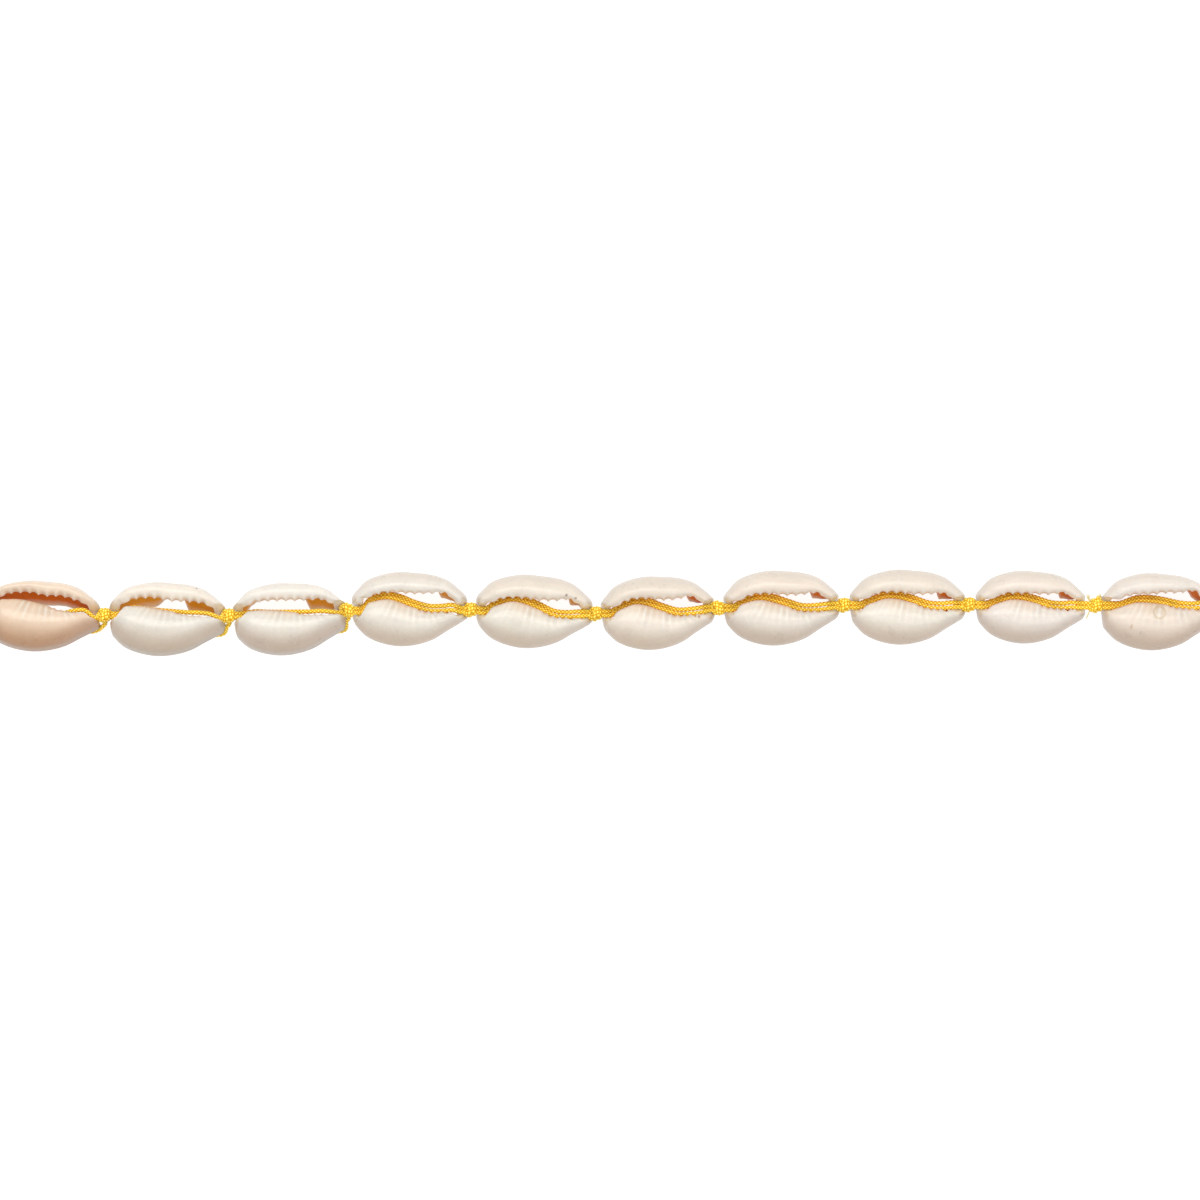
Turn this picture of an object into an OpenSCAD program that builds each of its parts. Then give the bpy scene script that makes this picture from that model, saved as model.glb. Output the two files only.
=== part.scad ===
// Necklace of cut cowrie shells on two strands of cord, laid in a loop on a flat surface.
// Each shell has its back ground off, so it is a ring that lies on its ground rim with the
// aperture on top. Both strands run through the shells, and a knot of both parts them.
// X runs along the straight row, Z is up, and the origin is on the surface at the centre.

/* [Shells] */
// Length of a shell from end to end
shell_l = 19.8; // [17:0.1:24]
// Width of a shell across its lips
shell_w = 12.9; // [11:0.1:15]
// Height of the lips above the ground rim
shell_h = 6.4; // [5.8:0.1:8]
// Thickness of the shell's wall at the ground rim
shell_wall = 1.3; // [1:0.1:1.8]
// Height of the notch floor at each end of a shell
notch_floor = 1.8; // [1.5:0.1:2.1]

/* [Cord] */
// Thickness of one strand
cord_d = 0.85; // [0.7:0.05:1]
// Length of a knot along the cord
knot_l = 1.8; // [1.5:0.1:2.2]
// Thickness of a knot across the cord
knot_d = 2.4; // [2:0.1:2.6]
// Space between the ends of two shells
shell_gap = 1.4; // [1.2:0.1:2.5]
// Clearance of a strand in a notch and under the lips
cord_clear = 0.15; // [0.12:0.01:0.3]
// Gap between a knot and the strands and shells next to it
knot_clear = 0.2; // [0.15:0.01:0.3]
// Length of a trimmed cord end outside the closing knot
end_l = 1.5; // [1:0.1:2]

/* [Hidden] */
SHELLS = 34;

// Heading of each shell in degrees, from knot to knot round the loop: the straight row,
// the right side, the row that comes back, and the left side
HEADINGS = [
    0, 0, 3, 0.5, -1.5, 3, 1.5, 0.5, 0, 0,
    -30, -60, -90, -90, -90, -120, -150,
    180, 180, 180, 180, 180, 180, 180, 180, 180, 180,
    150, 120, 90, 90, 90, 60, 30
];
// The knot that joins the two ends of the cord
CLOSING = 9;

// Ten kinds of shell, used in turn: shares of the length, width and height, roll about the
// long axis and turn in plan in degrees, shift across the row as a share of the width, shift
// along it as a share of the length, and distance from knot to knot as a share of the pitch
LONG = 0;
WIDE = 1;
HIGH = 2;
ROLL = 3;
TURN = 4;
ACROSS = 5;
ALONG = 6;
SPAN = 7;
KINDS = [
    [1.00, 0.93, 1.00, 20, 0, 0.00, 0, 1.00],
    [1.01, 0.98, 1.00, 20, 0, -0.03, 0.009, 1.00],
    [0.98, 0.96, 1.00, 18, 0, -0.06, 0.014, 0.96],
    [1.00, 1.00, 1.00, 0, 0, 0.01, 0.004, 0.99],
    [1.01, 0.99, 1.02, 0, 0, 0.00, 0.01, 1.01],
    [0.98, 0.99, 1.00, 0, 0, -0.03, 0.01, 0.99],
    [1.00, 1.01, 1.03, 0, 0, -0.02, 0.006, 1.015],
    [1.00, 1.01, 1.00, 0, 0, -0.03, 0.014, 1.01],
    [0.95, 0.98, 0.98, 0, 0, -0.03, -0.01, 1.025],
    [1.00, 1.04, 1.00, 4, 0, -0.08, 0.01, 1.00]
];
// Order in which the rest of the loop takes the kinds
REST_STEP = 3;

// Plan of a shell between its end notches. Shares of the length: of the margin and of the
// aperture's edge. Shares of the width: upper margin and edge, lower margin and edge.
// Last, the share of the height.
PLAN = [
    [0.05, 0.15, 0.26, 0.120, -0.24, -0.050, 0.93],
    [0.13, 0.21, 0.38, 0.145, -0.36, 0.050, 1.00],
    [0.25, 0.30, 0.455, 0.165, -0.445, 0.085, 1.00],
    [0.40, 0.41, 0.495, 0.170, -0.490, 0.090, 1.00],
    [0.55, 0.54, 0.483, 0.155, -0.475, 0.065, 1.00],
    [0.70, 0.67, 0.455, 0.165, -0.405, 0.010, 0.98],
    [0.83, 0.785, 0.385, 0.200, -0.285, -0.010, 0.92],
    [0.93, 0.835, 0.26, 0.155, -0.190, -0.055, 0.82]
];
// Cross-section from the aperture's edge over the lip to the outside of the ground rim:
// share of the way from edge to margin, and share of the height
LIP = [[0, 0.80], [0.26, 1], [0.70, 0.85], [1, 0.42], [0.95, 0]];
// The inside of the wall stands back a little towards the top
INSIDE = [0.9, 0.64];
// Shoulders beside a notch: height at the blunt and at the pointed end, and how far they
// widen above it, as a share of the width
SHOULDER_BLUNT = 0.80;
SHOULDER_POINTED = 0.70;
SHOULDER_STEP = 0.02;
// Depth of the end wall from the margin to the aperture, as a share of the length
END_WALL = 0.055;
// Where a strand is inside a notch, from the margin, as a share of the length
NOTCH_RUN = 0.09;

// Path of the two strands in a shell: share of the length, share of the width and height
// in strands above the lips. The near strand follows the aperture, and the far one passes
// below it to the other side.
NEAR = [[0.32, 0.125, 0], [0.66, 0.06, 0]];
FAR = [[0.34, 0.06, -1.55], [0.64, 0.10, -1.5]];
// In a rolled shell the far strand leaves under the rim beside the pointed end: share of
// the length and width, and height in strands above the rim's plane
UNDER = [[0.50, -0.06, 1.2], [0.86, -0.23, -1.3], [0.99, -0.10, -1.1]];
// A shell rolled by more than this has its far strand under the rim
ROLL_UNDER = 10;
// Sides of a strand, and directions of the trimmed ends from the closing knot
STRAND_SIDES = 5;
END_WAYS = [[0.5, 0.45, 0.9], [-0.35, 0.5, 0.9], [-0.25, -0.75, 0.6]];
END_R = 0.3;

pitch = shell_l + shell_gap;
// A notch takes the knot outside and the two strands side by side inside
notch_out_y = knot_d / 2 + knot_clear;
notch_in_y = cord_d + 2 * cord_clear;
cord_z = notch_floor + cord_clear + cord_d / 2;
side_y = (cord_d + cord_clear) / 2;
lips_z = shell_h * INSIDE[1] - cord_clear - cord_d / 2;

function shell_name(i) = str("shell_", i < 9 ? "0" : "", i + 1);
function kind(i) = KINDS[i < len(KINDS) ? i : (REST_STEP * i) % len(KINDS)];
function long(i) = shell_l * kind(i)[LONG];
function wide(i) = shell_w * kind(i)[WIDE];
function high(i) = shell_h * kind(i)[HIGH];

// Knots: the headings are laid end to end, and what the loop fails to close by is spread
// evenly over all of them
function way(k) = k == 0 ? [0, 0]
    : way(k - 1) + pitch * kind(k - 1)[SPAN] * [cos(HEADINGS[k - 1]), sin(HEADINGS[k - 1])];
LAID = [for (k = [0:SHELLS]) way(k)];
KNOTS = [for (k = [0:SHELLS]) LAID[k] - LAID[SHELLS] * k / SHELLS];
function knot(k) = KNOTS[(k + SHELLS) % SHELLS];
function heading(i) = atan2(knot(i + 1).y - knot(i).y, knot(i + 1).x - knot(i).x);
function span(i) = norm(knot(i + 1) - knot(i));
function bend(k) =
    let (a = abs(heading(k % SHELLS) - heading((k + SHELLS - 1) % SHELLS)))
    min(a, 360 - a);

// Places: a point of a shell is rolled about the cord's line, lifted so that the shell
// touches the surface, turned and shifted, and set on its heading in the loop
function rolled(p, a) = [
    p.x,
    p.y * cos(a) + (p.z - cord_z) * sin(a),
    cord_z + (p.z - cord_z) * cos(a) - p.y * sin(a)
];
function turned(p, a) = [p.x * cos(a) - p.y * sin(a), p.x * sin(a) + p.y * cos(a), p.z];
function lift(i) = -min([for (p = ring_points(i)) rolled(p, kind(i)[ROLL]).z]);
function seated(p, i, up) = turned(rolled(p, kind(i)[ROLL]), kind(i)[TURN])
    + [shell_l * kind(i)[ALONG], shell_w * kind(i)[ACROSS], up];
function set_in_loop(p, i) = turned(p, heading(i))
    + [(knot(i).x + knot(i + 1).x) / 2, (knot(i).y + knot(i + 1).y) / 2, 0];

// One shell: sections go along the upper lip from the blunt end, and back along the lower.
// A notch lies on the cord's line, and is sunk far enough for the knot beyond it, which at
// a bend of the loop is turned by half the bend.
function notch_y(i) = -shell_w * kind(i)[ACROSS];
function notch_in(i, way) =
    let (beside = knot_l / 2 * sin(bend(way < 0 ? i : i + 1) / 2))
    let (shift = way * shell_l * kind(i)[ALONG])
    max(0, knot_l / 2 + beside + knot_clear - (span(i) - long(i)) / 2 + shift);
function end_row(margin_in, edge_in, i, rise, step) =
    let (out = notch_out_y / wide(i) + step, in = notch_in_y / wide(i) + step)
    let (mid = notch_y(i) / wide(i))
    [margin_in, edge_in, mid + out, mid + in, mid - out, mid - in, rise];
function end_rows(i, way, rise) =
    let (inset = notch_in(i, way) / long(i), edge_in = inset + END_WALL)
    [
        end_row(inset, edge_in, i, notch_floor / high(i), 0),
        end_row(0, edge_in + SHOULDER_STEP / 4, i, rise, SHOULDER_STEP)
    ];
function far_end(row) = [1 - row[0], 1 - row[1], row[2], row[3], row[4], row[5], row[6]];
function plan_rows(i) =
    let (blunt = end_rows(i, -1, SHOULDER_BLUNT), pointed = end_rows(i, 1, SHOULDER_POINTED))
    concat(blunt, PLAN, [far_end(pointed[1]), far_end(pointed[0])]);
function section(row, upper, i) =
    let (margin = [(row[0] - 0.5) * long(i), row[upper ? 2 : 4] * wide(i)])
    let (edge = [(row[1] - 0.5) * long(i), row[upper ? 3 : 5] * wide(i)])
    let (wall_share = max(0.02, 0.95 - shell_wall / norm(margin - edge)))
    let (inner = [[wall_share, 0], [wall_share * INSIDE[0], INSIDE[1]]])
    [for (q = concat(LIP, inner))
        let (at = edge + (margin - edge) * q[0])
        [at.x, at.y, q[1] * row[6] * high(i)]];
function ring_points(i) =
    let (rows = plan_rows(i), last = len(rows) - 1)
    [for (k = [0:last]) each section(rows[k], true, i),
     for (k = [last:-1:0]) each section(rows[k], false, i)];

RING = len(LIP) + 2;
AROUND = 2 * (len(PLAN) + 4);
// Each patch between two sections is split along its shorter diagonal
function ring_faces(points) = [
    for (s = [0:AROUND - 1], q = [0:RING - 1])
        let (t = (s + 1) % AROUND, r = (q + 1) % RING)
        let (a = s * RING + q, b = t * RING + q, c = t * RING + r, d = s * RING + r)
        let (cut_ac = norm(points[a] - points[c]) < norm(points[b] - points[d]))
        each (cut_ac ? [[a, c, b], [a, d, c]] : [[a, d, b], [b, d, c]])
];
LIFTS = [for (i = [0:SHELLS - 1]) lift(i)];
PLACED = [for (i = [0:SHELLS - 1])
    [for (p = ring_points(i)) set_in_loop(seated(p, i, LIFTS[i]), i)]];
XS = [for (shell = PLACED, p = shell) p.x];
YS = [for (shell = PLACED, p = shell) p.y];
CENTRE = [(min(XS) + max(XS)) / 2, (min(YS) + max(YS)) / 2, 0];

// A knot hangs as high as the higher of the shells beside it holds the cord
function knot_z(k) = cord_z + max(LIFTS[(k + SHELLS - 1) % SHELLS], LIFTS[k % SHELLS]);

// Strands: from knot to knot, with both ends in the link's own frame
function in_shell(rows, base, i) = [
    for (r = rows)
        seated([(r[0] - 0.5) * long(i), r[1] * wide(i), base + r[2] * cord_d], i, LIFTS[i])
];
// Inside a notch a strand is a third of the way from its seat to the height of the knot
function over_notch(share, side, i, k) =
    let (seat = seated([(share - 0.5) * long(i), notch_y(i) + side, cord_z], i, LIFTS[i]))
    [seat.x, seat.y, max(seat.z, (2 * seat.z + knot_z(k)) / 3)];
function knot_face(i, k, way, side) =
    let (beside = (side_y + cord_d / 2) * tan(bend(k) / 2))
    [way * (span(i) / 2 - knot_l / 2 - knot_clear - beside - cord_d / 3), side, knot_z(k)];
function below_knot(i, k) =
    [span(i) / 2 - cord_d / 2, -side_y, knot_z(k) - knot_d / 2 - knot_clear - cord_d / 2];
function strand_in(i, side) =
    [knot_face(i, i, -1, side), over_notch(NOTCH_RUN, side, i, i)];
function strand_out(i, side) =
    [over_notch(1 - NOTCH_RUN, side, i, i + 1), knot_face(i, i + 1, 1, side)];
function near_route(i) =
    concat(strand_in(i, side_y), in_shell(NEAR, lips_z, i), strand_out(i, -side_y));
function far_route(i) = kind(i)[ROLL] > ROLL_UNDER
    ? concat(strand_in(i, -side_y), in_shell(UNDER, 0, i), [below_knot(i, i + 1)])
    : concat(strand_in(i, -side_y), in_shell(FAR, lips_z, i), strand_out(i, side_y));
function along(path, k) =
    let (a = path[max(k - 1, 0)], b = path[min(k + 1, len(path) - 1)])
    (b - a) / norm(b - a);
function tube_points(path) = [
    for (k = [0:len(path) - 1])
        let (t = along(path, k), n = cross([0, 0, 1], t), u = n / norm(n), v = cross(t, u))
        for (s = [0:STRAND_SIDES - 1])
            let (a = 360 * s / STRAND_SIDES)
            path[k] + cord_d / 2 * (u * cos(a) + v * sin(a))
];
function tube_faces(first, rings) = [
    for (k = [0:rings - 2], s = [0:STRAND_SIDES - 1])
        let (t = (s + 1) % STRAND_SIDES, a = first + k * STRAND_SIDES)
        each [[a + s, a + STRAND_SIDES + s, a + STRAND_SIDES + t], [a + s, a + STRAND_SIDES + t, a + t]],
    [for (s = [0:STRAND_SIDES - 1]) first + s],
    [for (s = [STRAND_SIDES - 1:-1:0]) first + (rings - 1) * STRAND_SIDES + s]
];
STRAND_PATHS = [
    for (i = [0:SHELLS - 1], path = [near_route(i), far_route(i)])
        [for (p = path) set_in_loop(p, i) - CENTRE]
];
STRAND_RINGS = len(STRAND_PATHS[0]);

module shell(i) {
    color("#f3e9dd")
        translate(-CENTRE)
            polyhedron(points = PLACED[i], faces = ring_faces(PLACED[i]));
}

module strands() {
    color("#d69d2a")
        polyhedron(
            points = [for (path = STRAND_PATHS) each tube_points(path)],
            faces = [for (n = [0:len(STRAND_PATHS) - 1])
                each tube_faces(n * STRAND_RINGS * STRAND_SIDES, STRAND_RINGS)]
        );
}

// A knot is a barrel of three turns of cord, the middle one the thickest
module knot_body() {
    turn_r = knot_l / 4;
    rotate([0, 90, 0])
        rotate_extrude($fn = 24) {
            intersection() {
                union() {
                    for (side = [-1, 1])
                        translate([knot_d * 0.4 - turn_r, side * (knot_l / 2 - turn_r)])
                            circle(turn_r, $fn = 24);
                    translate([knot_d / 2 - turn_r, 0])
                        circle(turn_r, $fn = 24);
                    translate([0, -knot_l / 2])
                        square([knot_d * 0.4 - turn_r, knot_l]);
                }
                translate([0, -knot_l])
                    square([knot_d, 2 * knot_l]);
            }
        }
}

module at_knot(k) {
    translate([knot(k).x, knot(k).y, knot_z(k)] - CENTRE)
        rotate((heading((k + SHELLS - 1) % SHELLS) + heading(k)) / 2)
            children();
}

module knots() {
    color("#cf9626")
        for (k = [0:SHELLS - 1])
            if (k != CLOSING)
                at_knot(k)
                    knot_body();
}

// The closing knot has the cord's trimmed ends standing out of it
module closing_knot() {
    color("#d9a536")
        at_knot(CLOSING) {
            knot_body();
            for (w = END_WAYS)
                rotate([0, acos(w.z / norm(w)), atan2(w.y, w.x)])
                    cylinder(r = END_R, h = knot_d / 2 + end_l, $fn = 16);
        }
}

for (i = [0:SHELLS - 1])
    shell(i);
strands();
knots();
closing_knot();
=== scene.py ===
import math

import bpy
import numpy as np
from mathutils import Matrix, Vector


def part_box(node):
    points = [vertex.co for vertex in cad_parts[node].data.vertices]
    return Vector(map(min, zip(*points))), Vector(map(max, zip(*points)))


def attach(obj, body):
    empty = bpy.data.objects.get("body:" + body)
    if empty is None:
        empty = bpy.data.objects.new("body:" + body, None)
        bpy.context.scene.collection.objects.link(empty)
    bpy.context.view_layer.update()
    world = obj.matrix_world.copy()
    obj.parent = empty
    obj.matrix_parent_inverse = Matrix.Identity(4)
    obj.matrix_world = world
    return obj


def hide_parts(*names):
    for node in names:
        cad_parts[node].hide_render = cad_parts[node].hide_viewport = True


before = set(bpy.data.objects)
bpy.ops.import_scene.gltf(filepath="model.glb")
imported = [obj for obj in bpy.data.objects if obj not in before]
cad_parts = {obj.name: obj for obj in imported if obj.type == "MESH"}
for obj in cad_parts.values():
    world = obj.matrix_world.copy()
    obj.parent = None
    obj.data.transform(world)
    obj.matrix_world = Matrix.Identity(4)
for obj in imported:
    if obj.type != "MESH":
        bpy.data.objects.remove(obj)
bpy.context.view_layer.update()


# The string: one closed loop of shells and knots, laid on a surface with ten shells in a
# straight row and the rest in front of it. Each link runs from knot to knot at its own
# heading, and the shells come in ten kinds, one for each shell of the straight row.
MM = 0.001
SHELL_COUNT = 34
# A link's common length, and the number of the closing knot, counted from 0
LINK = 21.2
CLOSING = 9
# The heading of each link in degrees, those of the straight row first
HEADINGS = (
    0, 0, 3, 0.5, -1.5, 3, 1.5, 0.5, 0, 0,
    -30, -60, -90, -90, -90, -120, -150,
    180, 180, 180, 180, 180, 180, 180, 180, 180, 180,
    150, 120, 90, 90, 90, 60, 30,
)
# Each kind of shell: length, width and height as shares of the common ones, roll about the
# cord in degrees, shift across and along its link as shares of the width and length, and
# the length of its link as a share of the common one
KIND_COLUMNS = ("long", "wide", "high", "roll", "across", "along", "span")
KINDS = [dict(zip(KIND_COLUMNS, row)) for row in (
    (1.00, 0.93, 1.00, 20, 0.00, 0.000, 1.000),
    (1.01, 0.98, 1.00, 20, -0.03, 0.009, 1.000),
    (0.98, 0.96, 1.00, 18, -0.06, 0.014, 0.960),
    (1.00, 1.00, 1.00, 0, 0.01, 0.004, 0.990),
    (1.01, 0.99, 1.02, 0, 0.00, 0.010, 1.010),
    (0.98, 0.99, 1.00, 0, -0.03, 0.010, 0.990),
    (1.00, 1.01, 1.03, 0, -0.02, 0.006, 1.015),
    (1.00, 1.01, 1.00, 0, -0.03, 0.014, 1.010),
    (0.95, 0.98, 0.98, 0, -0.03, -0.010, 1.025),
    (1.00, 1.04, 1.00, 4, -0.08, 0.010, 1.000),
)]
# The first shells are a kind each, and the rest repeat the kinds in steps of this many
KIND_STEP = 3


def kind_number(i):
    return i if i < len(KINDS) else KIND_STEP * i % len(KINDS)


def kind(i):
    return KINDS[kind_number(i)]


laid = [np.zeros(2)]
for i in range(SHELL_COUNT):
    heading = math.radians(HEADINGS[i])
    laid.append(laid[-1] + LINK * kind(i)["span"] * np.array((math.cos(heading), math.sin(heading))))
knots_at = np.array([laid[k] - laid[-1] * k / SHELL_COUNT for k in range(SHELL_COUNT)])
tied = np.delete(knots_at, CLOSING, axis=0)
knots_low, knots_high = (np.array(corner)[:2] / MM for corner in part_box("knots"))
knots_at += (knots_low + knots_high) / 2 - (tied.min(axis=0) + tied.max(axis=0)) / 2
links = np.roll(knots_at, -1, axis=0) - knots_at
link_angles = np.arctan2(links[:, 1], links[:, 0])
link_spans = np.hypot(links[:, 0], links[:, 1])


def bend(k):
    """The angle between the two links that meet at a knot."""
    angle = abs(link_angles[k % SHELL_COUNT] - link_angles[k - 1])
    return min(angle, 2 * math.pi - angle)


def turned(points, angle):
    """Points turned about the upright axis."""
    c, s = math.cos(angle), math.sin(angle)
    x, y, z = points.T
    return np.stack((x * c - y * s, x * s + y * c, z), axis=1)


def set_in_loop(points, i):
    """From a link's own frame, with its middle between the two knots, to its place in the loop."""
    middle = (knots_at[i] + knots_at[(i + 1) % SHELL_COUNT]) / 2
    return turned(points, link_angles[i]) + np.array((middle[0], middle[1], 0))


def smooth_line(points, counts, closed=False):
    """A smooth line through points, with so many steps from each point to the next."""
    points = np.asarray(points, dtype=float)
    if closed:
        padded = np.concatenate((points[-1:], points, points[:2]))
    else:
        ends = (2 * points[0] - points[1], 2 * points[-1] - points[-2])
        padded = np.concatenate((ends[:1], points, ends[1:]))
    rows = []
    for j, count in enumerate(counts):
        before, a, b, after = padded[j:j + 4]
        t = (np.arange(count) / count)[:, None]
        rows.append(0.5 * (2 * a + (b - before) * t
                           + (2 * before - 5 * a + 4 * b - after) * t ** 2
                           + (3 * a - before - 3 * b + after) * t ** 3))
    return np.concatenate(rows if closed else rows + [points[-1:]])


def steps_for(points, step, closed=False):
    """How many steps of about this size each stretch of a line takes."""
    following = np.roll(points, -1, axis=0) if closed else points[1:]
    lengths = np.linalg.norm(following - points[:len(following)], axis=1)
    return [max(2, int(round(length / step))) for length in lengths]


# The shells: small cowries with the back ground off, so that each is a ring that lies on
# its ground rim, with the two toothed lips and the long aperture between them on top.
# Tumbled smooth and glossy, cream on the lips, tan at the margin, and amber inside. The margin's
# tan is partly the shell's own colour and partly painted shade.
# In mm: the common shell's size and wall, the height of a notch's floor, the solid's cord
# and knot with their clearances, and the step along a shell's ring
SHELL_L = 19.8
SHELL_W = 12.9
SHELL_H = 6.4
SHELL_WALL = 1.3
NOTCH_FLOOR = 1.8
CORD_D = 0.85
KNOT_L = 1.8
KNOT_CLEAR = 0.2
CORD_CLEAR = 0.15
STEP_ROUND = 0.17
# A shell that leans more than this many degrees has a lower lip flatter by up to this share
ROLL_UNDER = 10
ROLLED_FLATTER = 0.08
# Sections round the shell, from the blunt end along the upper lip to the pointed end and
# back along the lower lip: the margin's place along and across, the same of the aperture's
# edge, and the height, all as shares of the shell's size. Where None stands, the edge's
# place across comes from the shell's kind. Only the rows at the two notches have their own.
RING = np.array((
    (0.000, 0.045, 0.080, 0.040, 0.31),
    (0.004, 0.085, 0.080, 0.062, 0.50),
    (0.000, 0.120, 0.090, 0.080, 0.74),
    (0.010, 0.185, 0.110, None, 0.86),
    (0.05, 0.260, 0.15, None, 0.93),
    (0.13, 0.380, 0.21, None, 1.00),
    (0.25, 0.455, 0.30, None, 1.00),
    (0.40, 0.495, 0.41, None, 1.00),
    (0.55, 0.483, 0.54, None, 1.00),
    (0.70, 0.455, 0.67, None, 0.98),
    (0.83, 0.385, 0.785, None, 0.92),
    (0.93, 0.265, 0.850, None, 0.84),
    (0.985, 0.180, 0.890, None, 0.78),
    (1.000, 0.120, 0.915, 0.080, 0.66),
    (0.996, 0.085, 0.920, 0.062, 0.48),
    (1.000, 0.045, 0.920, 0.040, 0.31),
    (1.000, -0.045, 0.920, -0.040, 0.31),
    (0.998, -0.085, 0.920, -0.060, 0.48),
    (1.000, -0.110, 0.905, -0.068, 0.64),
    (0.975, -0.150, 0.880, None, 0.76),
    (0.93, -0.195, 0.845, None, 0.82),
    (0.83, -0.285, 0.785, None, 0.92),
    (0.70, -0.405, 0.67, None, 0.98),
    (0.55, -0.475, 0.54, None, 1.00),
    (0.40, -0.490, 0.41, None, 1.00),
    (0.25, -0.445, 0.30, None, 1.00),
    (0.13, -0.360, 0.21, None, 1.00),
    (0.05, -0.240, 0.14, None, 0.93),
    (0.022, -0.170, 0.105, None, 0.86),
    (0.012, -0.115, 0.088, -0.064, 0.72),
    (0.008, -0.085, 0.080, -0.060, 0.50),
    (0.000, -0.045, 0.080, -0.040, 0.31),
), dtype=float)
# In shares: a notch's floor is lower than this, the edge moves this far with a sunk notch,
# and a row is beside a notch from this far off the middle
NOTCH_LOW = 0.4
NOTCH_EDGE_MOVES = 0.5
BESIDE_NOTCH = 0.37
# The section of a lip: share of the way from the aperture to the margin, and height
LIP_TOP = ((0.0, 0.76), (0.03, 0.825), (0.12, 0.905), (0.26, 0.975), (0.42, 1.0), (0.58, 0.955),
           (0.76, 0.82), (0.90, 0.63), (0.985, 0.42), (1.0, 0.28), (0.985, 0.0))
LIP_TOP_STEPS = (1, 2, 2, 2, 2, 2, 2, 2, 2, 2)
# The inner wall: share of the wall's own place under the lip, and height
LIP_UNDER = ((1.0, 0.0), (0.998, 0.04), (0.99, 0.22), (0.96, 0.45), (0.84, 0.62), (0.50, 0.68), (0.12, 0.70))
LIP_UNDER_STEPS = (1, 1, 1, 2, 2, 2)
# Teeth: first and last share of the length, spacing and depth in mm, the share of the lip
# that their ridges run over, and the ridges' relief in mm
UPPER_TEETH = dict(first=0.17, last=0.84, spacing=1.50, depth=0.44, reach=0.30, relief=0.02)
LOWER_TEETH = dict(first=0.56, last=0.93, spacing=1.08, depth=0.34, reach=0.66, relief=0.04)
# The teeth's outline fades out over this share of the lip
TEETH_FADE = 0.24
# The hollows between the teeth: how round they are, and where in mm from the first tooth
# they come up and from the last one die away
HOLLOW_POWER = 0.75
HOLLOWS_START = (-0.3, 1.2)
HOLLOWS_END = (-0.8, 0.3)
# Ridges of the lower lip: where they begin and are full, spacing and slant in mm, where they
# fan out from, and how unevenly they stand along the lip
LOWER_RIDGES = dict(first=0.14, full=0.40, spacing=0.95, slant=8.0, fan_at=0.6)
RIDGE_UNEVEN = 0.35
RIDGE_SWAY = 1.7
RIDGE_SHIFT = 2.3
# A ridge rises over the first share of the lip, stays full for a share of its reach, and
# fades at the shell's two ends
RIDGE_RISE = 0.05
RIDGE_FULL = 0.2
RIDGES_STOP = (0.40, 0.47)
# A deeper notch in the lower lip near the pointed end: its place as a share of the length,
# width and depth in mm, and how strong it is in each kind
TOOTH_GAP = dict(at=0.822, width=0.28, depth=0.38)
TOOTH_GAPS = (1.3, 1.5, 1.2, 1.0, 0.6, 0.2, 0.4, 1.1, 1.1, 1.0)
# The aperture of each kind, as shares of the width. The upper lip's edge runs from near the
# blunt end over a crest, a sag and a wider opening to the tip. The lower lip's edge starts
# low, rises to a hump at one share of the length and is down in its dip at another. The
# inner wall shows from the pointed end back to corner_at, and from the blunt end to wall_to.
# gap_below is how far it draws back there, so that the ground shows below it.
APERTURE_COLUMNS = ("near", "crest", "sag", "opening", "start", "hump", "hump_at", "dip", "low_at",
                    "corner_at", "wall_to", "gap_below")
APERTURES = [dict(zip(APERTURE_COLUMNS, row)) for row in (
    (0.20, 0.245, 0.195, 0.145, 0.14, 0.175, 0.27, 0.00, 0.80, 0.10, 0.50, 0.18),
    (0.14, 0.195, 0.150, 0.138, 0.085, 0.105, 0.25, -0.01, 0.76, 0.60, 0.46, 0),
    (0.14, 0.170, 0.160, 0.168, 0.055, 0.068, 0.30, -0.01, 0.72, 0.60, 0.16, 0),
    (0.14, 0.202, 0.188, 0.200, 0.035, 0.132, 0.29, -0.015, 0.66, 0.70, 0, 0),
    (0.10, 0.160, 0.138, 0.160, 0.00, 0.127, 0.32, -0.05, 0.74, 0.74, 0, 0),
    (0.10, 0.180, 0.153, 0.186, 0.005, 0.130, 0.31, -0.025, 0.68, 0.71, 0, 0),
    (0.10, 0.168, 0.150, 0.175, 0.01, 0.110, 0.29, -0.03, 0.72, 0.70, 0, 0),
    (0.10, 0.175, 0.150, 0.165, 0.00, 0.116, 0.34, -0.01, 0.76, 0.70, 0, 0),
    (0.10, 0.165, 0.158, 0.178, -0.005, 0.105, 0.34, 0.00, 0.76, 0.70, 0, 0),
    (0.13, 0.185, 0.210, 0.240, 0.01, 0.105, 0.33, 0.045, 0.80, 0.72, 0, 0),
)]
TIP = 0.11
# Where along the shell the upper edge comes to its crest, sag, opening and tip, and where
# the lower edge starts to rise
TO_CREST = (0.08, 0.30)
TO_SAG = (0.38, 0.56)
TO_OPENING = (0.66, 0.78)
TO_TIP = (0.80, 0.91)
RISE_FROM = 0.04
# The least room that each edge leaves for the cord beside a notch
NOTCH_UPPER = 0.075
NOTCH_LOWER = 0.055
# Where along the shell the inner wall comes into view and goes out of it again. From the
# blunt end it shows this strongly, and ends round wall_to.
CORNER_RUN = 0.10
CORNER_END = (0.87, 0.94)
GAP_OPENS = (0.36, 0.56)
GAP_CLOSES = (0.78, 0.88)
BLUNT_START = (0.06, 0.12)
BLUNT_END = (-0.08, 0.06)
BLUNT_SHARE = 0.8
# The inner wall's place as a share of the lip: the least, and the most for no thickness.
# Then how far it reaches in where it leans, below which height it does so, and at which
# height it would have no lean left.
WALL_LEAST = 0.02
WALL_MOST = 0.95
WALL_REACH = -0.30
WALL_REACH_ROLLED = -0.04
LEAN_BELOW = 0.5
LEAN_TO = 0.6
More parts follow.
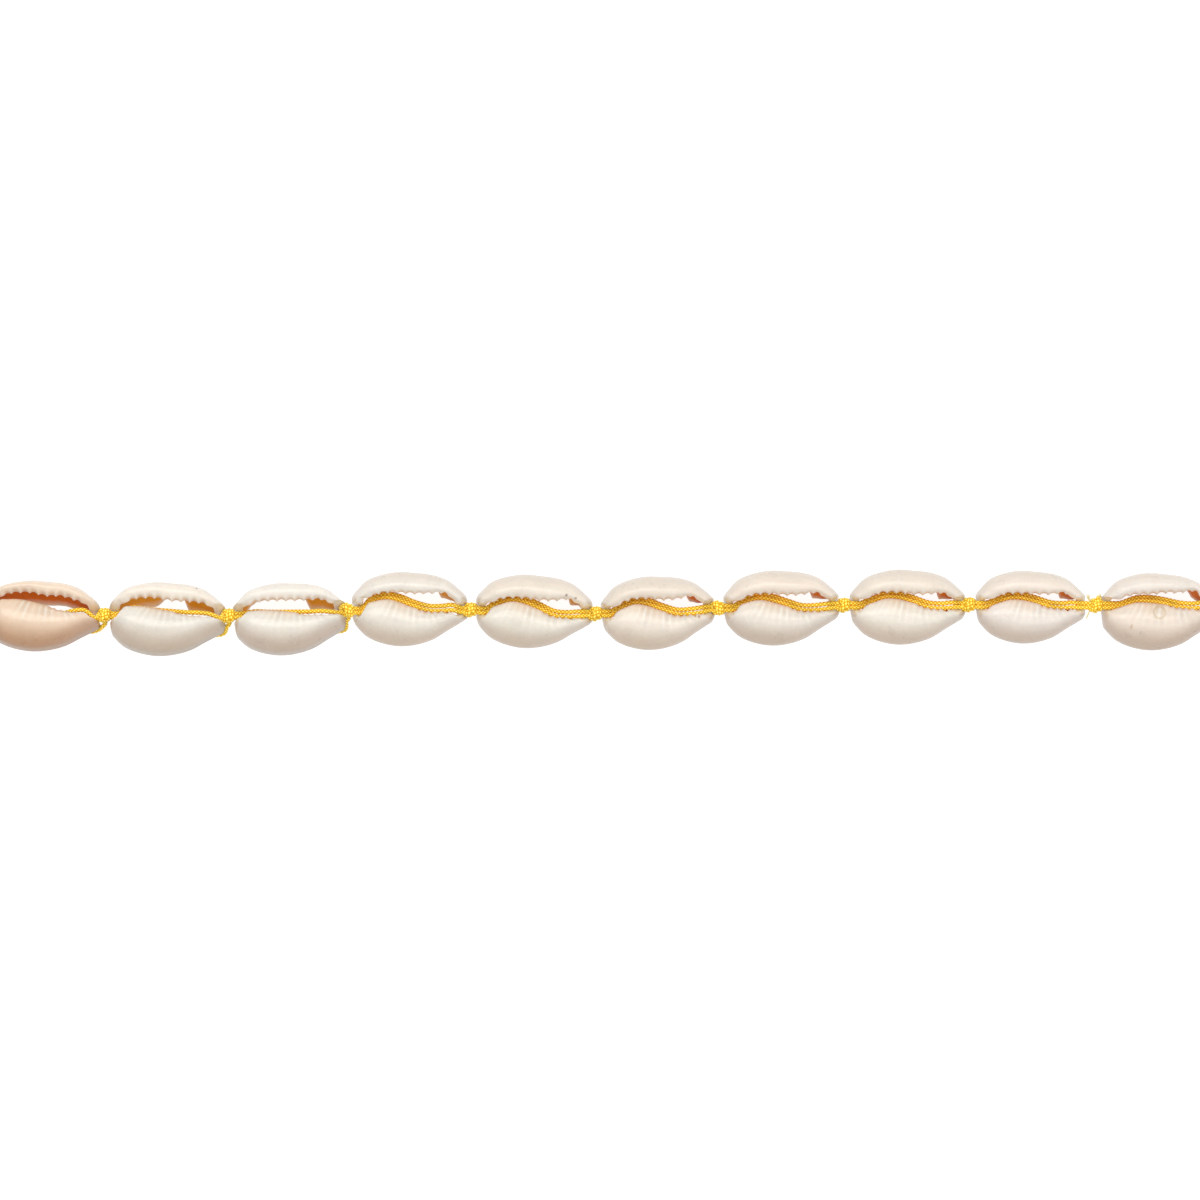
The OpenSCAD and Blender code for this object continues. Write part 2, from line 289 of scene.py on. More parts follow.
# Between these heights the wall passes from its own plain line to the toothed edge
UNDER_LIP = (0.5, 0.7)


def linear(hex_colour):
    """A colour as it is written in a paint list, turned to the renderer's linear values."""
    parts = [int(hex_colour[n:n + 2], 16) / 255 for n in (1, 3, 5)]
    return np.array([v / 12.92 if v <= 0.04045 else ((v + 0.055) / 1.055) ** 2.4 for v in parts])


def eased(low, high, value):
    """From 0 at the low value to 1 at the high one, smooth at both ends."""
    t = np.clip((value - low) / (high - low), 0, 1)
    return t * t * (3 - 2 * t)


def shell_size(i):
    """A shell's own length, width and height in mm."""
    return SHELL_L * kind(i)["long"], SHELL_W * kind(i)["wide"], SHELL_H * kind(i)["high"]


def notch_inset(i, way):
    """How far a notch is sunk, as a share of the length, to leave room for the knot."""
    length = shell_size(i)[0]
    beside = KNOT_L / 2 * math.sin(bend(i if way < 0 else i + 1) / 2)
    room = (link_spans[i] - length) / 2 - way * SHELL_L * kind(i)["along"]
    return max(0, KNOT_L / 2 + beside + KNOT_CLEAR - room) / length


def cord_height(i, lifts):
    """The height of the cord's middle in a shell."""
    return NOTCH_FLOOR + CORD_CLEAR + CORD_D / 2 + lifts[i % SHELL_COUNT]


def seated(points, i, lift):
    """From a shell's own frame to its link's: rolled about the cord, shifted and lifted."""
    axis_z = NOTCH_FLOOR + CORD_CLEAR + CORD_D / 2
    c, s = math.cos(math.radians(kind(i)["roll"])), math.sin(math.radians(kind(i)["roll"]))
    x, y, z = points.T
    rolled = np.stack((x, y * c + (z - axis_z) * s, axis_z + (z - axis_z) * c - y * s), axis=1)
    return rolled + np.array((SHELL_L * kind(i)["along"], SHELL_W * kind(i)["across"], lift))


def upper_edge(i, u):
    """The edge of a shell's upper lip at a share of its length, as a share of its width."""
    a = APERTURES[kind_number(i)]
    v = a["near"] + (a["crest"] - a["near"]) * eased(*TO_CREST, u)
    v += (a["sag"] - a["crest"]) * eased(*TO_SAG, u)
    v += (a["opening"] - a["sag"]) * eased(*TO_OPENING, u)
    return v + (TIP - a["opening"]) * eased(*TO_TIP, u)


def lower_edge(i, u):
    """The edge of a shell's lower lip at a share of its length, as a share of its width."""
    a = APERTURES[kind_number(i)]
    v = a["start"] + (a["hump"] - a["start"]) * eased(RISE_FROM, a["hump_at"], u)
    return v + (a["dip"] - a["hump"]) * eased(a["hump_at"], a["low_at"], u)


def wall_shown(i, u):
    """How far a shell's inner wall leans into the aperture's view, from 0 to 1."""
    a = APERTURES[kind_number(i)]
    corner = eased(a["corner_at"], a["corner_at"] + CORNER_RUN, u) * (1 - eased(*CORNER_END, u))
    corner *= 1 - a["gap_below"] * eased(*GAP_OPENS, u) * (1 - eased(*GAP_CLOSES, u))
    blunt = BLUNT_SHARE * (1 - eased(*BLUNT_END, u - a["wall_to"])) * eased(*BLUNT_START, u)
    return np.maximum(corner, blunt if a["wall_to"] else 0)


def scallops(x, teeth, length):
    """Round hollows between pointed teeth, from 0 on a tooth to 1 in a hollow."""
    start = (teeth["first"] - 0.5) * length
    end = (teeth["last"] - 0.5) * length
    wave = np.abs(np.sin(math.pi * (x - start) / teeth["spacing"])) ** HOLLOW_POWER
    return wave * eased(*HOLLOWS_START, x - start) * (1 - eased(*HOLLOWS_END, x - end))


def teeth(i, along, upper):
    """The hollows between the teeth from 0 to 1, how deep they cut in mm, and the deeper notch."""
    length = shell_size(i)[0]
    hollow = np.where(upper, scallops(along, UPPER_TEETH, length), scallops(along, LOWER_TEETH, length))
    gap = np.exp(-((along - (TOOTH_GAP["at"] - 0.5) * length) / TOOTH_GAP["width"]) ** 2)
    depth = hollow * np.where(upper, UPPER_TEETH["depth"], LOWER_TEETH["depth"])
    depth += np.where(upper, 0, gap * TOOTH_GAP["depth"] * TOOTH_GAPS[kind_number(i)])
    return hollow, depth, gap


def ridge_strengths(i, along, hollow):
    """How strongly the ridges of the upper and of the lower lip stand along the shell."""
    u = along / shell_size(i)[0] + 0.5
    toothed = (u > UPPER_TEETH["first"]) & (u < UPPER_TEETH["last"])
    lower = eased(LOWER_RIDGES["first"], LOWER_RIDGES["full"], u)
    lower *= 1 - RIDGE_UNEVEN * (1 - np.sin(RIDGE_SWAY * along + RIDGE_SHIFT * kind_number(i)))
    inside_ends = 1 - eased(*RIDGES_STOP, np.abs(u - 0.5))
    return np.where(toothed, 1 - hollow, 0) * inside_ends, lower * inside_ends


def ring_rows(i):
    """The rows round a shell in mm from its middle, and which of them are the upper lip's."""
    length, width, height = shell_size(i)
    ring = RING.copy()
    at_notch = ~np.isnan(ring[:, 3])
    blunt = at_notch & (ring[:, 0] < 0.5)
    pointed = at_notch & (ring[:, 0] > 0.5)
    floor = at_notch & (ring[:, 4] < NOTCH_LOW)
    ring[floor & blunt, 0] += notch_inset(i, -1)
    ring[floor & pointed, 0] -= notch_inset(i, 1)
    ring[blunt, 2] += NOTCH_EDGE_MOVES * notch_inset(i, -1)
    ring[pointed, 2] -= NOTCH_EDGE_MOVES * notch_inset(i, 1)
    cord_v = -SHELL_W * kind(i)["across"] / width
    ring[at_notch, 1] += cord_v
    ring[at_notch, 3] += cord_v
    half_rows = len(RING) // 2
    for r in np.flatnonzero(~at_notch):
        beside_notch = abs(ring[r, 2] - 0.5) > BESIDE_NOTCH
        if r < half_rows:
            ring[r, 3] = max(upper_edge(i, ring[r, 2]), cord_v + NOTCH_UPPER * beside_notch)
        else:
            ring[r, 3] = lower_edge(i, ring[r, 2])
            if beside_notch:
                ring[r, 3] = min(ring[r, 3], cord_v - NOTCH_LOWER)
    ring = (ring - np.array((0.5, 0, 0.5, 0, 0))) * np.array((length, width, length, width, height))
    # The sum of margin and edge runs twice as far as the line halfway between them
    counts = steps_for(ring[:, :2] + ring[:, 2:4], 2 * STEP_ROUND, closed=True)
    rows = smooth_line(ring, counts, closed=True)
    return rows, np.arange(len(rows)) < sum(counts[:half_rows])


# Colours of each kind as they show under soft light: upper lip, lower lip, lower margin and
# inner wall. The lower margin's tan is partly the shell's own colour and partly painted
# shade, for the lower side that turns away from the light.
LOOKS = (
    ("#f9e3cd", "#f8dfc6", "#c99c78", "#d9700a"),
    ("#fdf3e6", "#f3eee4", "#d3bfaa", "#e8a42c"),
    ("#fbf5ec", "#f5f0e6", "#d3beab", "#e8a42c"),
    ("#f8f2e8", "#f5efe4", "#d5bea6", "#e8a42c"),
    ("#f9efe1", "#f5efe3", "#d3bda6", "#e8a42c"),
    ("#f6eadb", "#f7ede0", "#d5bea5", "#dc780a"),
    ("#faeddf", "#f5ede2", "#cfb8a1", "#e2800c"),
    ("#f9eee0", "#f9f2e6", "#d4bda7", "#e2800c"),
    ("#fcf0e4", "#f9f0e8", "#d1bba7", "#e2800c"),
    ("#f9f0e7", "#f8eadc", "#d0b7a1", "#dc7812"),
)
PEACH = "#f0cfa9"
TOOTH_WHITE = "#fffaf0"
HOLLOW_TAN = "#d9a878"
GROUND_RIM = "#efe6d8"
# The upper margin's colour: partly the shell's own cream, partly painted shade where the margin slopes away
# from the light
UPPER_MARGIN_AND_SHADE = "#e4d6c6"
WALL_SHADE = 0.15
FURROW_SHADE = 0.10
RIM_HIGH = 0.12
# How the colours lie on a lip, from 0 at the aperture to 1 at the margin: where the margin's
# colour begins, partly painted shade, and where the painted light along the aperture's edge,
# the peach and the tan of the hollows end. Pairs are strengths on the upper and on the lower
# lip, and the foot's painted shade goes by the height.
MARGIN_FROM = 0.45
EDGE_PAINTED_LIGHT = 0.14
EDGE_PAINTED_LIGHT_TO = 0.25
FOOT_SHADE = 0.3
FOOT_LEVELS = (0.55, 0.1)
PEACH_SHARES = (0.25, 0.65)
PEACH_TO = 0.35
PEACH_AT = 0.42
PEACH_RUN = 0.16
WHITE_SHARES = (0.5, 0.8)
TAN_SHARE = 0.6
TAN_TO = 0.10


def lip_colours(i, upper, u, share, level, ridge, furrow, hollow):
    """The enamel's colour in every row, at one share of the way from aperture to margin."""
    upper_body, lower_body, lower_margin_and_shade = (linear(c) for c in LOOKS[kind_number(i)][:3])
    body = np.where(upper[:, None], upper_body, lower_body)
    # The margins' colours are partly the shell's own and partly painted shade, which grows toward the margin
    margin = np.where(upper[:, None], linear(UPPER_MARGIN_AND_SHADE), lower_margin_and_shade)
    colour = body + (margin - body) * eased(MARGIN_FROM, 1.0, share)
    colour = colour * (1 - FOOT_SHADE * eased(*FOOT_LEVELS, level) * (share > 0.5))
    # Painted light: the lip is brighter along the aperture's edge, where its slope lies in shade
    colour = colour * (1 + EDGE_PAINTED_LIGHT * (1 - eased(0, EDGE_PAINTED_LIGHT_TO, share)))
    peach = np.exp(-((u - PEACH_AT) / PEACH_RUN) ** 2) * (1 - eased(0, PEACH_TO, share))
    for tint, strengths, weight in ((PEACH, PEACH_SHARES, peach), (TOOTH_WHITE, WHITE_SHARES, ridge)):
        colour += (linear(tint) - colour) * (np.where(upper, *strengths) * weight)[:, None]
    colour = colour * (1 - FURROW_SHADE * furrow)[:, None]
    bare = hollow * (1 - eased(0, TAN_TO, share))
    return colour + (linear(HOLLOW_TAN) - colour) * (TAN_SHARE * bare)[:, None]


def cowrie(i):
    """One shell in its own frame: points, faces, the points' colours, and which faces are inner."""
    length = shell_size(i)[0]
    leans = kind(i)["roll"] > ROLL_UNDER
    rows, upper = ring_rows(i)
    margin, plain_edge, high = rows[:, :2], rows[:, 2:4], rows[:, 4]
    along = plain_edge[:, 0]
    u = along / length + 0.5
    if leans:
        high = high * (1 - ROLLED_FLATTER * ~upper * np.sin(math.pi * u))

    # Teeth are cut into the edge, and ridges run on from them over the lip
    hollow, depth, gap = teeth(i, along, upper)
    upper_ridges, lower_ridges = ridge_strengths(i, along, hollow)
    ridge_reach = np.where(upper, UPPER_TEETH["reach"], LOWER_TEETH["reach"])
    relief = np.where(upper, UPPER_TEETH["relief"], LOWER_TEETH["relief"])
    across = margin - plain_edge
    edge = plain_edge + across / np.linalg.norm(across, axis=1)[:, None] * depth[:, None]

    # The outside: from the aperture's edge over the lip to the foot of the margin
    points, colours = [], []
    top = smooth_line(LIP_TOP, LIP_TOP_STEPS)
    for share, level in top:
        # The lower lip's ridges fan out from one place of the aperture
        slanted = along + LOWER_RIDGES["slant"] * share * (LOWER_RIDGES["fan_at"] - u)
        wave = (0.5 + 0.5 * np.cos(2 * math.pi * slanted / LOWER_RIDGES["spacing"])) ** 2
        fade = (1 - eased(RIDGE_FULL * ridge_reach, ridge_reach, share)) * eased(0, RIDGE_RISE, share)
        ridge = np.where(upper, upper_ridges, wave * lower_ridges) * fade
        furrow = np.where(upper, 0, (1 - wave) * lower_ridges) * fade
        start = plain_edge + (edge - plain_edge) * (1 - eased(0, TEETH_FADE, share))
        at = start + (margin - start) * share
        points.append(np.column_stack((at, level * high + ridge * relief)))
        colours.append(lip_colours(i, upper, u, share, level, ridge, furrow, hollow))

    # The inside: from the ground rim up the wall to below the toothed edge. The upper lip's
    # wall leans in where it shows, and the lower lip's does so at its deeper notch.
    wall = np.maximum(WALL_LEAST, WALL_MOST - SHELL_WALL / np.linalg.norm(margin - edge, axis=1))
    lean = np.where(upper, wall_shown(i, u), gap)
    wall_reach = WALL_REACH_ROLLED if leans else WALL_REACH
    amber, rim = linear(LOOKS[kind_number(i)][3]), linear(GROUND_RIM)
    under = smooth_line(LIP_UNDER, LIP_UNDER_STEPS)
    for share, level in under:
        place = wall * share
        if level < LEAN_BELOW:
            place = place + (wall_reach - place) * lean * (1 - level / LEAN_TO)
        below_edge = eased(*UNDER_LIP, level)
        start = plain_edge + (edge - plain_edge) * below_edge
        at = start + (margin - start) * place[:, None]
        points.append(np.column_stack((at, level * high)))
        inner = amber * (1 - WALL_SHADE * below_edge)
        colour = inner + (rim - inner) * (1 - eased(0, RIM_HIGH, level))
        colours.append(np.tile(colour, (len(rows), 1)))
    points = np.stack(points, axis=1).reshape(-1, 3)
    colours = np.stack(colours, axis=1).reshape(-1, 3)

    section_size = len(top) + len(under)
    a = np.arange(len(rows))[:, None] * section_size + np.arange(section_size)[None, :]
    b = np.roll(a, -1, axis=0)
    quads = np.stack((a, b, np.roll(b, -1, axis=1), np.roll(a, -1, axis=1)), axis=2)
    inside = np.tile(np.arange(section_size) >= len(top), len(rows))
    return points, quads.reshape(-1, 4), colours, inside


def node(tree, name, sockets=None, **settings):
    """Adds a node with its settings; a socket is given a value or another node's output."""
    made = tree.nodes.new(name)
    for key, value in settings.items():
        setattr(made, key, value)
    for key, value in (sockets or {}).items():
        if isinstance(value, bpy.types.NodeSocket):
            tree.links.new(value, made.inputs[key])
        else:
            made.inputs[key].default_value = value
    return made


def new_material(name):
    made = bpy.data.materials.new(name)
    made.use_nodes = True
    made.node_tree.nodes.clear()
    return made, made.node_tree


# A worn ring on the last shell of the row: its place as shares of the shell, radius and
# width in mm, and how strongly its colour tints the enamel
WORN_RING = dict(shell=9, u=0.49, v=-0.03, radius=1.0, band=0.3, share=0.75, colour="#dcbf98")


def ring_mark(tree, place):
    """How far the worn ring tints the enamel here, from 0 to its full share."""
    i = WORN_RING["shell"]
    length, width, _ = shell_size(i)
    own = np.array([[(WORN_RING["u"] - 0.5) * length, WORN_RING["v"] * width, SHELL_H]])
    centre = set_in_loop(seated(own, i, 0), i)[0] * MM
    flat = node(tree, "ShaderNodeVectorMath", {0: place, 1: (1, 1, 0)}, operation="MULTIPLY")
    away = node(tree, "ShaderNodeVectorMath", {0: flat.outputs[0], 1: (centre[0], centre[1], 0)},
                operation="DISTANCE").outputs["Value"]
    off = node(tree, "ShaderNodeMath", {0: away, 1: WORN_RING["radius"] * MM}, operation="SUBTRACT")
    size = node(tree, "ShaderNodeMath", {0: off.outputs[0]}, operation="ABSOLUTE")
    return node(tree, "ShaderNodeMapRange", {
        0: size.outputs[0], 1: 0.0, 2: WORN_RING["band"] * MM, 3: WORN_RING["share"], 4: 0.0}).outputs[0]


# Sizes of the enamel's patterns in mm: its clouds, and its growth streaks, which are drawn
# as coarse as they need to be to show. Nearly all of a noise lies between its low and its
# high value.
CLOUD_SIZE = 3.03
STREAK_SIZE = 0.5263
NOISE_LOW = 0.3
NOISE_HIGH = 0.7
CLOUD_TONES = (0.755, 0.815)
STREAK_TONES = (0.97, 1.02)
GLOSS_ROUGHNESS = (0.26, 0.36)
WALL_TONE = 0.9


def porcelain_material():
    """Cowrie enamel, tumbled: the eye sees a wet gloss over a soft, slightly uneven cream."""
    made, tree = new_material("tumbled_cowrie_enamel")
    place = node(tree, "ShaderNodeTexCoord").outputs["Object"]
    own = node(tree, "ShaderNodeAttribute", attribute_name="enamel").outputs["Color"]
    clouds, streaks = (
        node(tree, "ShaderNodeTexNoise",
             {"Vector": place, "Scale": 1 / (size * MM), "Detail": detail}).outputs["Fac"]
        for size, detail in ((CLOUD_SIZE, 3.0), (STREAK_SIZE, 2.0)))
    cloud_tone, streak_tone, rough = (
        node(tree, "ShaderNodeMapRange", {0: noise, 1: NOISE_LOW, 2: NOISE_HIGH, 3: low, 4: high}).outputs[0]
        for noise, (low, high) in ((clouds, CLOUD_TONES), (streaks, STREAK_TONES), (clouds, GLOSS_ROUGHNESS)))
    tone = node(tree, "ShaderNodeMath", {0: cloud_tone, 1: streak_tone}, operation="MULTIPLY")
    ringed = node(tree, "ShaderNodeMix",
                  {0: ring_mark(tree, place), 6: own, 7: (*linear(WORN_RING["colour"]), 1)},
                  data_type="RGBA")
    toned = node(tree, "ShaderNodeVectorMath", {0: ringed.outputs[2], 3: tone.outputs[0]}, operation="SCALE")
    bump = node(tree, "ShaderNodeBump", {"Strength": 0.12, "Distance": 0.00012, "Height": streaks})
    finish = node(tree, "ShaderNodeBsdfPrincipled", {
        "Base Color": toned.outputs[0], "Roughness": rough, "Normal": bump.outputs[0],
        "IOR": 1.5, "Coat Weight": 0.2, "Coat Roughness": 0.16,
        "Subsurface Weight": 0.12, "Subsurface Radius": (1.0, 0.6, 0.4), "Subsurface Scale": 0.0012,
    })
    node(tree, "ShaderNodeOutputMaterial", {"Surface": finish.outputs[0]})
    return made


def inner_material():
    """Shell ground and left raw: the eye sees a dull amber wall that hardly reflects."""
    made, tree = new_material("raw_shell_wall")
    own = node(tree, "ShaderNodeAttribute", attribute_name="enamel").outputs["Color"]
    toned = node(tree, "ShaderNodeVectorMath", {0: own, 3: WALL_TONE}, operation="SCALE")
    finish = node(tree, "ShaderNodeBsdfPrincipled", {
        "Base Color": toned.outputs[0], "Roughness": 0.6, "IOR": 1.5, "Specular IOR Level": 0.12,
    })
    node(tree, "ShaderNodeOutputMaterial", {"Surface": finish.outputs[0]})
    return made


# Spots of single shells of the row: shell, place along and across as shares of the shell,
# size in mm, and colour
SPOTS = (
    (9, 0.33, -0.26, 0.40, "#a8a198"),
    (9, 0.25, -0.20, 0.30, "#cfa67c"),
    (8, 0.41, -0.075, 0.28, "#b79a7c"),
    (4, 0.775, 0.235, 0.30, "#7a5434"),
    (4, 0.855, 0.20, 0.28, "#8a6442"),
    (5, 0.86, -0.075, 0.32, "#b88a58"),
    (5, 0.83, -0.070, 0.22, "#d9a86a"),
    (1, 0.755, 0.34, 0.34, "#a79f93"),
)
# How strongly a spot tints the enamel, and the share of its size that is full
SPOT_SHARE = 0.8
SPOT_CORE = 0.4
# Faces that meet at more than this many degrees keep a sharp edge between them
SHARP_FROM = 55


def marked(i, points, colours):
    """Paints the pits and spots that single shells carry, on the upper half only."""
    length, width, _ = shell_size(i)
    for shell, u, v, size, colour in SPOTS:
        if shell != i:
            continue
        away = np.hypot(points[:, 0] - (u - 0.5) * length, points[:, 1] - v * width)
        weight = SPOT_SHARE * (1 - eased(SPOT_CORE * size, size, away)) * (points[:, 2] > 0.5 * SHELL_H)
        colours += (linear(colour) - colours) * weight[:, None]
    return colours


def added(name, data):
    """A new object of the scene that shows this data."""
    made = bpy.data.objects.new(name, data)
    bpy.context.scene.collection.objects.link(made)
    return made


enamel = porcelain_material()
raw_wall = inner_material()
lifts = []
for i in range(SHELL_COUNT):
    name = f"{i + 1:02d}"
    own_points, quads, colours, inside = cowrie(i)
    colours = marked(i, own_points, colours)
    lift = -seated(own_points, i, 0)[:, 2].min()
    lifts.append(lift)
    points = set_in_loop(seated(own_points, i, lift), i) * MM
    mesh = bpy.data.meshes.new(f"cowrie_{name}")
    mesh.from_pydata(points.tolist(), [], quads.tolist())
    attribute = mesh.color_attributes.new("enamel", "FLOAT_COLOR", "POINT")
    rgba = np.column_stack((colours, np.ones(len(colours))))
    attribute.data.foreach_set("color", rgba.ravel())
    mesh.polygons.foreach_set("use_smooth", [True] * len(mesh.polygons))
    mesh.set_sharp_from_angle(angle=math.radians(SHARP_FROM))
    mesh.materials.append(enamel)
    mesh.materials.append(raw_wall)
    mesh.polygons.foreach_set("material_index", inside.astype(np.int32))
    cowrie_piece = added(f"cowrie_{name}", mesh)
    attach(cowrie_piece, "root")
    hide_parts(f"shell_{name}")


# The cord: two parallel strands of round braided satin cord, gold, with painted shade in brown
# between its yarns and a painted highlight on their crests. Both run from knot to knot through
# the notches and under the lips of each shell. In the rolled shells the second strand leaves
# under the rim beside the pointed end.

# In mm: the thickness of a knot and of a strand, how far a strand lies to its side and up or
# down in a notch, the step along its line, and the braid's plait and relief. The plait is as
# coarse as it needs to be to show.
KNOT_D = 2.4
STRAND_D = 0.77
SIDE = 0.37
STEP_UP = 0.17
STRAND_STEP = 0.17
PLAIT_L = 0.66
PLAIT_RELIEF = 0.035
CORD_SIDES = 16
YARNS = 4
# How far in from the shell's ends a strand crosses the blunt and the pointed notch, as
# shares of the length
NOTCH_IN = 0.09
NOTCH_OUT = 0.054
# Where a strand leaves a knot: mm from the knot's middle, and share of the way to its side
KNOT_LEAVES = ((0.3, 0.5), (0.9, 0.9))
# Where the second strand of a rolled shell comes up to the knot from below, in mm: past the
# knot's middle, across, and above the knot's underside
KNOT_FROM_BELOW = ((-0.3, -1.9, 0.0), (0.15, -1.4, 0.4), (0.2, -0.6, 1.0))
# Places in a shell: share of the length, how far above the lower lip's edge as a share of
# the width, and height in mm. In a rolled shell the first strand keeps closer to the lip,
# and the second one's places are shares of the width from the shell's own middle.
NEAR = ((0.17, 0.018, 3.0), (0.30, 0.028, 3.3), (0.42, 0.030, 3.35), (0.54, 0.022, 3.5),
        (0.67, -0.002, 3.65), (0.78, -0.006, 3.7), (0.87, 0.002, 3.3))
FAR = ((0.17, 0.060, 2.8), (0.30, 0.076, 2.7), (0.42, 0.086, 2.6), (0.54, 0.080, 2.7),
       (0.67, 0.060, 3.0), (0.78, 0.058, 3.1), (0.87, 0.070, 3.0))
NEAR_ROLLED = ((0.20, 0.036, 2.8), (0.30, 0.020, 2.8), (0.42, 0.024, 2.8), (0.54, 0.046, 2.9),
               (0.67, 0.052, 3.4), (0.78, 0.048, 3.7), (0.87, 0.040, 3.3))
# In the first kind of shell it stays out of sight below the lip until near the pointed end
NEAR_HIDDEN = ((0.20, -0.010, 2.8), (0.30, -0.040, 2.8), (0.42, -0.045, 2.8), (0.54, -0.040, 2.9),
               (0.67, -0.020, 3.1), (0.78, 0.030, 3.6), (0.87, 0.044, 3.3))
UNDER = ((0.30, 0.00, 1.9), (0.50, -0.02, 0.9), (0.70, -0.07, -0.2), (0.86, -0.135, -1.0),
         (0.93, -0.145, -1.0), (0.985, -0.115, -0.9))
# Colours of the braid from the gaps between its yarns to their crests, each at its place:
# painted shade in the gaps, the gold of the yarns, and a painted highlight on the crests
CORD_SHADE_AND_HIGHLIGHT_STOPS = ((0.02, "#cb8610"), (0.22, "#ffd82e"), (0.85, "#fff482"))
CORD_TONES = (1.0, 1.28)
# The cord is lighter and darker in patches of this size in mm
WEAR_SIZE = 2.381
# How fine the threads in a yarn are, and their relief as a share of the yarn's
THREADS = 9.0
THREAD_RELIEF = 0.15


def knot_height(k):
    """The height of a knot's middle, which is that of the cord in the higher shell beside it."""
    return max(cord_height(k, lifts), cord_height(k - 1, lifts))


def notch_point(i, share, side, k):
    """A strand's place above a notch, at least a third of the way up to a higher knot."""
    length, _, _ = shell_size(i)
    cord_y = -SHELL_W * kind(i)["across"]
    place = np.array([[(share - 0.5) * length, cord_y + side, NOTCH_FLOOR + CORD_CLEAR + CORD_D / 2]])
    seat = seated(place, i, lifts[i])[0]
    high = max(seat[2], (2 * seat[2] + knot_height(k)) / 3)
    return (seat[0], seat[1], high - math.copysign(STEP_UP, side))


def in_shell(rows, i):
    """The places of a strand in a shell, in the frame of the shell's link."""
    length, width, _ = shell_size(i)
    places = np.array(rows)
    if rows is not UNDER:
        places[:, 1] += lower_edge(i, places[:, 0])
    places = (places - np.array((0.5, 0, 0))) * np.array((length, width, 1))
    return [tuple(p) for p in seated(places, i, lifts[i])]


def strand_path(i, far):
    """One strand's way through a shell, from the middle of one knot to the next."""
    half = link_spans[i] / 2
    rolled = kind(i)["roll"] > ROLL_UNDER
    end = SIDE if far else -SIDE
    start = -end if rolled else end
    rows = [(-half + out, start * side, knot_height(i)) for out, side in KNOT_LEAVES]
    rows.append(notch_point(i, NOTCH_IN, start, i))
    if far and rolled:
        rows += in_shell(UNDER, i)
        below = knot_height(i + 1) - KNOT_D / 2
        rows += [(half + past, across, below + up) for past, across, up in KNOT_FROM_BELOW]
    else:
        near = NEAR_HIDDEN if kind_number(i) == 0 else NEAR_ROLLED if rolled else NEAR
        rows += in_shell(FAR if far else near, i)
        rows.append(notch_point(i, 1 - NOTCH_OUT, end, i + 1))
        rows += [(half - out, end * side, knot_height(i + 1)) for out, side in reversed(KNOT_LEAVES)]
    path = np.array(rows)
    return set_in_loop(smooth_line(path, steps_for(path, STRAND_STEP)), i)


def yarn_waves(tree, angle, phase):
    """Waves of the yarns that wind one way and the other, and the higher wave of the two."""
    turns = node(tree, "ShaderNodeMath", {0: angle, 1: float(YARNS)}, operation="MULTIPLY")
    waves = []
    for way in ("ADD", "SUBTRACT"):
        both = node(tree, "ShaderNodeMath", {0: turns.outputs[0], 1: phase}, operation=way)
        waves.append(node(tree, "ShaderNodeMath", {0: both.outputs[0]}, operation="COSINE").outputs[0])
    higher = node(tree, "ShaderNodeMath", {0: waves[0], 1: waves[1]}, operation="MAXIMUM")
    return waves, higher.outputs[0]


